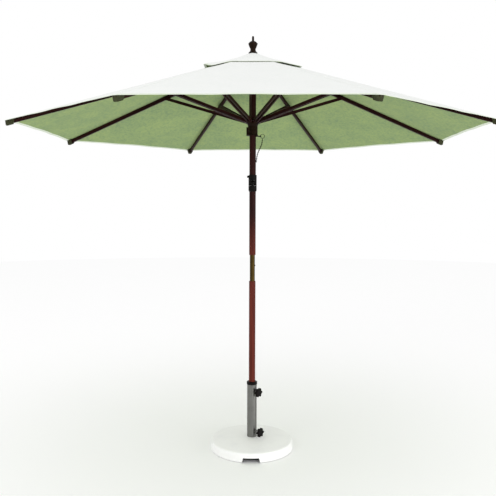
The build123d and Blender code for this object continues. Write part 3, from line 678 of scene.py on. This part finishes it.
def gathered(piece, k, side, cut):
    """Sew a piece beside a rib: it rides with the rib, with its own copy of the mesh."""
    tangent = Vector((-sin(azimuth[k]), cos(azimuth[k]), 0)) * side
    outward = Vector((cos(azimuth[k]), sin(azimuth[k]), 0))
    stays_put = surface(k, side, ANCHOR_ALONG, cut.strip, cut.peak, sag=0.0, folds=0.0)
    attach(piece, f"rib_{k}")
    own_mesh(piece)


# %% Where strips, triangles and hems lie
HEM_OVERLAP, HEM_LIFT, HEM_THICK = 0.0006, 0.0005, CLOTH + 0.001


def reach_at(cut, off_rib):
    """Reach of the scalloped rim at a distance from the rib's plane, found by two passes."""
    straight = cut.corner_r * cos(HALF)
    reach = straight
    for _ in range(2):
        share = (off_rib - reach * sin(HALF)) / (reach * sin(HALF))
        reach = straight - cut.scallop * (1 - share**2)
    return reach


def in_strip(cut, column, along):
    """Distance from the rib's plane in a strip, whose columns run from -1 to 1."""
    return min(abs(column) * cut.strip, along * sin(HALF))


def in_gore(cut, column, along):
    """Distance from the rib's plane in a triangle: 0 is the strip's edge, 1 the middle of the gore."""
    return cut.strip + (along * sin(HALF) - cut.strip) * column


def side_of(column):
    """Side of the rib that a strip's column is on."""
    return 1 if column >= 0 else -1


def strip_place(k, cut):
    """Place function of a rib strip: row is a share of the way to the rim, column runs across."""
    def place(row, column):
        end = reach_at(cut, abs(column) * cut.strip)
        along = cut.strip_start + (end - cut.strip_start) * row
        return cut.point(k, side_of(column), along, in_strip(cut, column, along))
    return place


def gore_place(k, side, cut):
    """Place function of a triangle: row is a share of the way to the rim, column runs off the strip."""
    def place(row, column):
        along = cut.gore_start + (cut.corner_r * cos(HALF) - cut.gore_start) * row
        for _ in range(2):
            end = reach_at(cut, in_gore(cut, column, along))
            along = cut.gore_start + (end - cut.gore_start) * row
        return cut.point(k, side, along, in_gore(cut, column, along))
    return place


def hem_place(k, side, cut, off_rib):
    """Place function of a hem: row runs over its width and column along the rim."""
    def place(row, column):
        reach = cut.corner_r * cos(HALF)
        for _ in range(3):
            reach = reach_at(cut, off_rib(cut, column, reach))
        along = reach + HEM_OVERLAP - cut.hem * (1 - row)
        return cut.point(k, side * side_of(column), along, off_rib(cut, column, along))
    return place


def off_surface(place, lift):
    """The same place function raised by a small distance."""
    return lambda row, column: place(row, column) + Vector((0, 0, lift))


print("the rim reaches", round(reach_at(canopy, 0.0), 4), "m at a corner")

# %% Strips over the ribs
strip_columns = [-1, -0.8, -0.6, -0.4, -0.3, -0.2, -0.1, 0, 0.1, 0.2, 0.3, 0.4, 0.6, 0.8, 1]
canopy_rows = even(0, 1, 61)
cloth_pieces = {}
for k in CORNERS:
    strip = cloth_piece(f"canopy_strip_{k}", canopy_rows, strip_columns, strip_place(k, canopy), two_sided)
    on_rib(k, strip)
    cloth_pieces["canopy", "strip", k] = strip
print("rib strips:", len(cloth_pieces))

# %% Triangles between the strips
SIDES = ((-1, "right"), (1, "left"))
gore_columns = even(0, 1, 41)
for k in CORNERS:
    for side, side_name in SIDES:
        place = gore_place(k, side, canopy)
        gore = cloth_piece(f"canopy_gore_{k}_{side_name}", canopy_rows, gore_columns, place, two_sided)
        gathered(gore, k, side, canopy)
        cloth_pieces["canopy", side_name, k] = gore
print("canopy pieces:", len(cloth_pieces))

# %% [markdown]
# The gores are joined by flat seams over the ribs, and the rim is turned up into a hem. Each has a
# row of stitches, about seven to every 50 mm. A bump could hint at them, but real thread stands
# proud of the cloth, so each stitch is a small bevelled bar.

# %% Stitches
STITCH_STEP = 0.0035
STITCH_LONG, STITCH_WIDE, STITCH_HIGH = 0.0036, 0.0008, 0.0005
STITCH_BEVEL = 0.00015


def stitch_row(bm, points, lift):
    """One stitch between every other pair of points."""
    for first, second in zip(points[::2], points[1::2]):
        step = second - first
        size = Matrix.Diagonal((min(STITCH_LONG, step.length), STITCH_WIDE, STITCH_HIGH, 1))
        turn_to = step.to_track_quat("X", "Z").to_matrix().to_4x4()
        middle = Matrix.Translation((first + second) / 2 + Vector((0, 0, lift)))
        bmesh.ops.create_cube(bm, size=1, matrix=middle @ turn_to @ size)


def stitched(name, rows, lift):
    """Thread along several rows of points."""
    mesh = bpy.data.meshes.new(name)
    bm = bmesh.new()
    for points in rows:
        stitch_row(bm, points, lift)
    bmesh.ops.bevel(bm, geom=bm.edges[:], offset=STITCH_BEVEL, segments=1, profile=0.5, affect="EDGES",
                    material=-1)
    bm.to_mesh(mesh)
    bm.free()
    mesh.materials.append(thread)
    mesh.shade_smooth()
    return link_object(name, mesh)


def stitch_points(length):
    """Number of points for a row of stitches of this length."""
    return 2 * round(length / STITCH_STEP / 2)


print("stitches on a seam:", stitch_points(1.1) // 2)

# %% Seams and hems on the strips
SEAM_HALF, SEAM_LIFT, SEAM_THICK = 0.007, 0.0006, 0.0009
SEAM_INSET = 0.001
SEAM_THREAD_LIFT, HEM_THREAD_LIFT = 0.0007, 0.0006
THREAD_ACROSS, THREAD_UP_HEM = 0.78, 0.2
hem_rows = even(0, 1, 6)
both_hem = (hem_cloth, hem_cloth)
trims = {}


def seam_place(k):
    """Place function of a seam: it runs down the rib, with columns from -1 to 1 across it."""
    start = canopy.strip_start + SEAM_INSET
    end = reach_at(canopy, 0.0) - SEAM_INSET

    def place(row, column):
        return canopy_point(k, side_of(column), start + (end - start) * row, abs(column) * SEAM_HALF)
    return place


for k in CORNERS:
    rim, ridge = hem_place(k, 1, canopy, in_strip), seam_place(k)
    turned_up, raised = off_surface(rim, HEM_LIFT), off_surface(ridge, SEAM_LIFT)
    hem = cloth_piece(f"canopy_hem_{k}", hem_rows, strip_columns, turned_up, both_hem, HEM_THICK)
    seam = cloth_piece(f"canopy_seam_{k}", canopy_rows, even(-1, 1, 9), raised, two_sided, SEAM_THICK)
    down = even(0.005, 0.985, stitch_points(1.1))
    lines = [[ridge(row, side * THREAD_ACROSS) for row in down] for side in (-1, 1)]
    seam_thread = stitched(f"seam_thread_{k}", lines, SEAM_THREAD_LIFT)
    line = [rim(THREAD_UP_HEM, column) for column in even(-0.98, 0.98, 16)]
    hem_thread = stitched(f"hem_thread_{k}", [line], HEM_THREAD_LIFT)
    trims["canopy", "strip", k] = [hem, seam, seam_thread, hem_thread]
    on_rib(k, *trims["canopy", "strip", k])
print("trimmed strips:", len(trims))

# %% Hems on the triangles
for k in CORNERS:
    for side, side_name in SIDES:
        rim = hem_place(k, side, canopy, in_gore)
        turned_up = off_surface(rim, HEM_LIFT)
        hem = cloth_piece(f"gore_hem_{k}_{side_name}", hem_rows, gore_columns, turned_up, both_hem, HEM_THICK)
        line = [rim(THREAD_UP_HEM, column) for column in even(0.002, 0.998, stitch_points(0.49))]
        hem_thread = stitched(f"gore_thread_{k}_{side_name}", [line], HEM_THREAD_LIFT)
        for piece in (hem, hem_thread):
            gathered(piece, k, side, canopy)
        trims["canopy", side_name, k] = [hem, hem_thread]
print("hemmed triangles:", len(trims) - len(azimuth))

# %% [markdown]
# A dark pocket is sewn under each corner. The rib's end sits in it and pulls the cloth tight. It
# could be a box, but sewn cloth closes round the rib, so the pocket is a rounded trough.

# %% Rib pockets
POCKET_START, POCKET_END = 1.312, 1.3485
POCKET_HALF, POCKET_DEPTH = 0.021, 0.0272
POCKET_BELOW = 0.0011  # its flanges lie this far under the top of the cloth
CLOSES_FROM, CLOSES_OVER = 1.3440, 0.0045
FLAT_MIDDLE = 0.46


def pocket_place(k):
    """Place function of a pocket: a trough under the rib that closes past its tip."""
    def place(row, column):
        out = POCKET_START + (POCKET_END - POCKET_START) * row
        closing = 1 - smooth((out - CLOSES_FROM) / CLOSES_OVER)
        across = 1 - smooth((abs(column) - FLAT_MIDDLE) / (1 - FLAT_MIDDLE))
        depth = POCKET_DEPTH * across * closing + POCKET_BELOW
        top = canopy_point(k, side_of(column), out * cos(HALF), abs(column) * POCKET_HALF)
        return top - Vector((0, 0, depth))
    return place


pocket_rows = even(0, 0.9, 10) + even(0.93, 1, 8)
both_pocket = (pocket_cloth, pocket_cloth)
for k in CORNERS:
    place = pocket_place(k)
    pocket = cloth_piece(f"rib_pocket_{k}", pocket_rows, even(-1, 1, 29), place, both_pocket, 0.0008)
    on_rib(k, pocket)
    trims["canopy", "strip", k].append(pocket)
print("pockets:", len(azimuth))

# %% [markdown]
# The vent's strips start at the crown, which doesn't fold, and end on the ribs, which do. Each strip
# stays where it is cut, and only its hem and the triangles ride on the rib.

# %% Vent pieces
vent_rows, vent_columns = even(0, 1, 41), even(0, 1, 17)
for k, angle in azimuth.items():
    outward, top = Vector((cos(angle), sin(angle), 0)), Vector((0, 0, vent_peak))
    strip = cloth_piece(f"vent_strip_{k}", vent_rows, strip_columns, strip_place(k, vent), two_sided)
    rim = off_surface(hem_place(k, 1, vent, in_strip), HEM_LIFT)
    hem = cloth_piece(f"vent_hem_{k}", hem_rows, strip_columns, rim, both_hem, HEM_THICK)
    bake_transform(strip)
    on_rib(k, hem)
    cloth_pieces["vent", "strip", k] = strip
    trims["vent", "strip", k] = [hem]
    for side, side_name in SIDES:
        place = gore_place(k, side, vent)
        gore = cloth_piece(f"vent_gore_{k}_{side_name}", vent_rows, vent_columns, place, two_sided)
        rim = off_surface(hem_place(k, side, vent, in_gore), HEM_LIFT)
        gore_hem = cloth_piece(f"vent_gore_hem_{k}_{side_name}", hem_rows, vent_columns, rim, both_hem, HEM_THICK)
        for piece in (gore, gore_hem):
            gathered(piece, k, side, vent)
        cloth_pieces["vent", side_name, k] = gore
        trims["vent", side_name, k] = [gore_hem]
print("canopy and vent pieces:", len(cloth_pieces))

# %% [markdown]
# Each cloth piece is measured for the size it was cut to, and the first rib's pieces print it. It
# could be taken from a pattern sheet, but measuring the mesh gives it for every piece. The triangles
# are cut as wedges, so their area is about half of their length times width.

def edge_length(points):
    """Length of a line of points."""
    return sum((b - a).length for a, b in zip(points, points[1:]))


def declare_cloth(piece, k):
    """Measure a piece as a sheet on the mesh, and print its size for the first rib."""
    mesh = piece.data
    area = sum(face.area for face in mesh.polygons)
    tangent = Vector((-sin(azimuth[k]), cos(azimuth[k]), 0))
    outward = Vector((cos(azimuth[k]), sin(azimuth[k]), 0))
    across = [vert.co.dot(tangent) for vert in mesh.vertices]
    along = [vert.co.dot(outward) for vert in mesh.vertices]
    width = max(across) - min(across)
    length = (max(along) - min(along)) / cos(SLOPE)
    if area > width * length:
        length = area / width
    if k == 1:
        print(piece.name, "cut", round(width, 3), "x", round(length, 3), "m, area", round(area, 4), "m2")


for (cut_name, part, k), piece in cloth_pieces.items():
    declare_cloth(piece, k)
    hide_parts("vent_canopy" if cut_name == "vent" else f"canopy_panel_{k}")

# %% [markdown]
# ## Rope and chain
#
# The lift rope is laid from three strands and goes over the pulley inside the canopy. A thick curve
# would be a smooth cord, so each strand is a tube that winds round the rope's line.

# %% Route of a rope or chain
def route_points(name, points):
    """Points along a smooth spline with these control points."""
    data = bpy.data.curves.new(name, "CURVE")
    data.dimensions = "3D"
    data.resolution_u = 24
    spline = data.splines.new("NURBS")
    spline.points.add(len(points) - 1)
    for spot, point in zip(spline.points, points):
        spot.co = (*point, 1)
    spline.order_u = 3
    spline.use_endpoint_u = True
    line = link_object(name, data)
    bpy.context.view_layer.update()
    mesh = bpy.data.meshes.new_from_object(line)
    found = [vert.co.copy() for vert in mesh.vertices]
    bpy.data.objects.remove(line)
    bpy.data.curves.remove(data)
    bpy.data.meshes.remove(mesh)
    return found


def at_distance(points, distance):
    """Point and direction at a distance along a line of points."""
    for a, b in zip(points, points[1:]):
        step = (b - a).length
        if step > 0 and distance <= step:
            return a + (b - a) * (distance / step), (b - a).normalized()
        distance -= step
    return points[-1].copy(), (points[-1] - points[-2]).normalized()


ROPE_HEADING = radians(-135)
ROPE_OUT, ROPE_APART = 0.021, 0.006  # from the pole's middle, and half the gap between the strands
rope_outwards = Vector((cos(ROPE_HEADING), sin(ROPE_HEADING), 0))
rope_aside = Vector((-sin(ROPE_HEADING), cos(ROPE_HEADING), 0))
rope_route = [(-1, 1.900), (-1, 1.990), (-1, 2.090), (-1, 2.150), (-1, 2.1905), (-0.62, 2.1957), (0, 2.1969),
              (0.62, 2.1957), (1, 2.1905), (1, 2.150), (1, 2.090), (1, 1.990), (1, 1.900)]
rope_line = route_points("rope_route", [
    rope_outwards * ROPE_OUT + rope_aside * ROPE_APART * share + Vector((0, 0, z)) for share, z in rope_route
])
rope_length = edge_length(rope_line)
print("rope is", round(rope_length, 3), "m long")

# %% Lift rope
STRANDS, STRAND_SIDES = 3, 7
STRAND_R = 0.00112
LAY = 0.013  # length in which a strand winds once round
STEPS_PER_LAY = 12


def edges_of(ring):
    """Edges of a loose ring of vertices, always in the same order."""
    return list(dict.fromkeys(edge for vert in ring for edge in vert.link_edges))


def add_tube(bm, centres, radius, sides):
    """Skin a line of points with rings, each bridged to the next."""
    ahead = centres[1] - centres[0]
    normal = ahead.orthogonal().normalized()
    last_edges = []
    for i, centre in enumerate(centres):
        ahead = (centres[min(i + 1, len(centres) - 1)] - centres[max(i - 1, 0)]).normalized()
        normal = (normal - ahead * normal.dot(ahead)).normalized()
        turn_to = Matrix((ahead.cross(normal), normal, ahead)).transposed().to_4x4()
        placed = Matrix.Translation(centre) @ turn_to
        ring = bmesh.ops.create_circle(bm, segments=sides, radius=radius, matrix=placed)["verts"]
        ring_edges = edges_of(ring)
        if last_edges:
            bmesh.ops.bridge_loops(bm, edges=last_edges + ring_edges)
        last_edges = ring_edges


rope_mesh = bpy.data.meshes.new("lift_rope_strands")
rope_bm = bmesh.new()
steps = round(rope_length / LAY * STEPS_PER_LAY)
for strand in range(STRANDS):
    centres = []
    for i in range(steps + 1):
        distance = rope_length * i / steps
        spot, ahead = at_distance(rope_line, distance)
        phase = 2 * pi * (distance / LAY + strand / STRANDS)
        winding = rope_outwards * cos(phase) + ahead.cross(rope_outwards) * sin(phase)
        centres.append(spot + winding * STRAND_R)
    # Each strand is skinned in a bmesh of its own, because bridging slows down as a mesh grows.
    strand_bm = bmesh.new()
    add_tube(strand_bm, centres, STRAND_R, STRAND_SIDES)
    strand_bm.to_mesh(rope_mesh)
    strand_bm.free()
    rope_bm.from_mesh(rope_mesh)
open_ends = [edge for edge in rope_bm.edges if edge.is_boundary]
bmesh.ops.holes_fill(rope_bm, edges=open_ends, sides=STRAND_SIDES)
bmesh.ops.recalc_face_normals(rope_bm, faces=rope_bm.faces)
rope_bm.to_mesh(rope_mesh)
rope_bm.free()
rope_mesh.materials.append(rope_cloth)
rope_mesh.shade_smooth()
rope = link_object("lift_rope_strands", rope_mesh)
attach(rope, "upper_pole")
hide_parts("lift_rope")
print("rope of", STRANDS, "strands has", len(rope_mesh.polygons), "faces")

# %% [markdown]
# The lock pin hangs on a fine chain of oval links, so it can't get lost. One long tube would be
# enough from afar, but links catch the light one by one. Every second link is turned a quarter.

# %% An oval link
CHAIN_WIDE = 0.0052
LINK_HALF_LONG, LINK_HALF_WIDE, LINK_WIRE = 0.0044, CHAIN_WIDE / 2, 0.0011
LINK_PITCH = 0.0062
WIRE_SIDES, LINK_STEPS = 7, 16


def oval_link(bm, spot, ahead, turned):
    """One closed oval link: a ring of wire, stretched and laid along the chain."""
    first_vert = len(bm.verts)
    side_way = ahead.cross(Vector((0, 1, 0))).normalized()
    wide_way = Vector((0, 1, 0)) if turned else side_way
    frame_turn = Matrix((wide_way, ahead.cross(wide_way).normalized(), ahead)).transposed().to_4x4()
    wire_at = Matrix.Translation((LINK_HALF_WIDE, 0, 0)) @ Matrix.Rotation(pi / 2, 4, "X")
    ring = bmesh.ops.create_circle(bm, segments=WIRE_SIDES, radius=LINK_WIRE, matrix=wire_at)["verts"]
    ring_edges = edges_of(ring)
    bmesh.ops.spin(bm, geom=ring + ring_edges, cent=(0, 0, 0), axis=(0, 0, 1), angle=2 * pi, steps=LINK_STEPS,
                   use_merge=True)
    bm.verts.ensure_lookup_table()
    # The ring lies flat after the spin: swapping Y and Z stands its long way along the chain.
    stand_up = Matrix(((1, 0, 0), (0, 0, 1), (0, 1, 0))).to_4x4()
    for vert in bm.verts[first_vert:]:
        vert.co.y *= LINK_HALF_LONG / LINK_HALF_WIDE
        vert.co = spot + (frame_turn @ (stand_up @ vert.co))


print("a link is", 2 * LINK_HALF_LONG, "m long")

# %% Chain of the lock pin
chain_route = [(0.0570, 1.8439), (0.0550, 1.8157), (0.0430, 1.7877), (0.0300, 1.7607), (0.0240, 1.7357),
               (0.0210, 1.7106)]
chain_line = route_points("chain_route", [Vector((x, 0, z)) for x, z in chain_route])
chain_length = edge_length(chain_line)
chain_mesh = bpy.data.meshes.new("pin_chain_links")
chain_bm = bmesh.new()
between_ends = chain_length - 2 * LINK_HALF_LONG
link_count = int(between_ends / LINK_PITCH) + 1
for i in range(link_count):
    spot, ahead = at_distance(chain_line, LINK_HALF_LONG + between_ends * i / (link_count - 1))
    oval_link(chain_bm, spot, ahead, i % 2 == 0)
bmesh.ops.recalc_face_normals(chain_bm, faces=chain_bm.faces)
chain_bm.to_mesh(chain_mesh)
chain_bm.free()
chain_mesh.materials.append(dark_steel)
chain_mesh.shade_smooth()
chain = link_object("pin_chain_links", chain_mesh)
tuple(chain_line[-1])
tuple(chain_line[0])
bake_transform(chain)
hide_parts("pin_chain")
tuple(chain_line[0])
print("chain", round(chain_length, 4), "m,", link_count, "links")

# %% [markdown]
# The two finger grips under the base have a black plastic liner, pressed into the concrete: a dark
# sheet that paints the deep shadow under each grip's roof. A box that loses its outer and lower face,
# with its inner edges rounded, gives it in three steps.

# %% Grip liners, painted shadow in the recesses
GRIP_TOP_HALF, GRIP_FOOT_HALF = 0.0445, 0.0518
GRIP_FOOT, GRIP_TOP = 0.0030, 0.0281
GRIP_FRONT, GRIP_BACK = 0.2385, 0.1995
GRIP_ROUND, GRIP_WALL = 0.003, 0.0012
for side, side_name in ((-1, "front"), (1, "rear")):
    mesh = bpy.data.meshes.new(f"grip_recess_shadow_{side_name}")
    bm = bmesh.new()
    bmesh.ops.create_cube(bm, size=2)
    for vert in bm.verts:
        half_width = GRIP_TOP_HALF if vert.co.z > 0 else GRIP_FOOT_HALF
        out = GRIP_FRONT if vert.co.y > 0 else GRIP_BACK
        vert.co = (vert.co.x * half_width, side * out, GRIP_TOP if vert.co.z > 0 else GRIP_FOOT)
    middles = {face: face.calc_center_median() for face in bm.faces}
    open_sides = [face for face, middle in middles.items()
                  if abs(middle.y) > GRIP_FRONT - 0.001 or middle.z < GRIP_FOOT + 0.001]
    bmesh.ops.delete(bm, geom=open_sides, context="FACES")
    inner_edges = [edge for edge in bm.edges if not edge.is_boundary]
    bmesh.ops.bevel(bm, geom=inner_edges, offset=GRIP_ROUND, segments=3, profile=0.5, affect="EDGES",
                    material=-1)
    bmesh.ops.recalc_face_normals(bm, faces=bm.faces)
    # The wall grows against the normals, so the roof has to point up, into the concrete.
    if any(face.normal.z < -0.5 for face in bm.faces):
        bmesh.ops.reverse_faces(bm, faces=bm.faces)
    bm.to_mesh(mesh)
    bm.free()
    # Black here is painted shadow: the recess is dark because shade falls in it.
    mesh.materials.append(black_plastic)
    recess_shadow = link_object(f"grip_recess_shadow_{side_name}", mesh)
    wall = recess_shadow.modifiers.new("wall", "SOLIDIFY")
    wall.thickness = GRIP_WALL
    wall.offset = -1
    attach(recess_shadow, "base")
    print(recess_shadow.name, len(mesh.polygons), "faces")
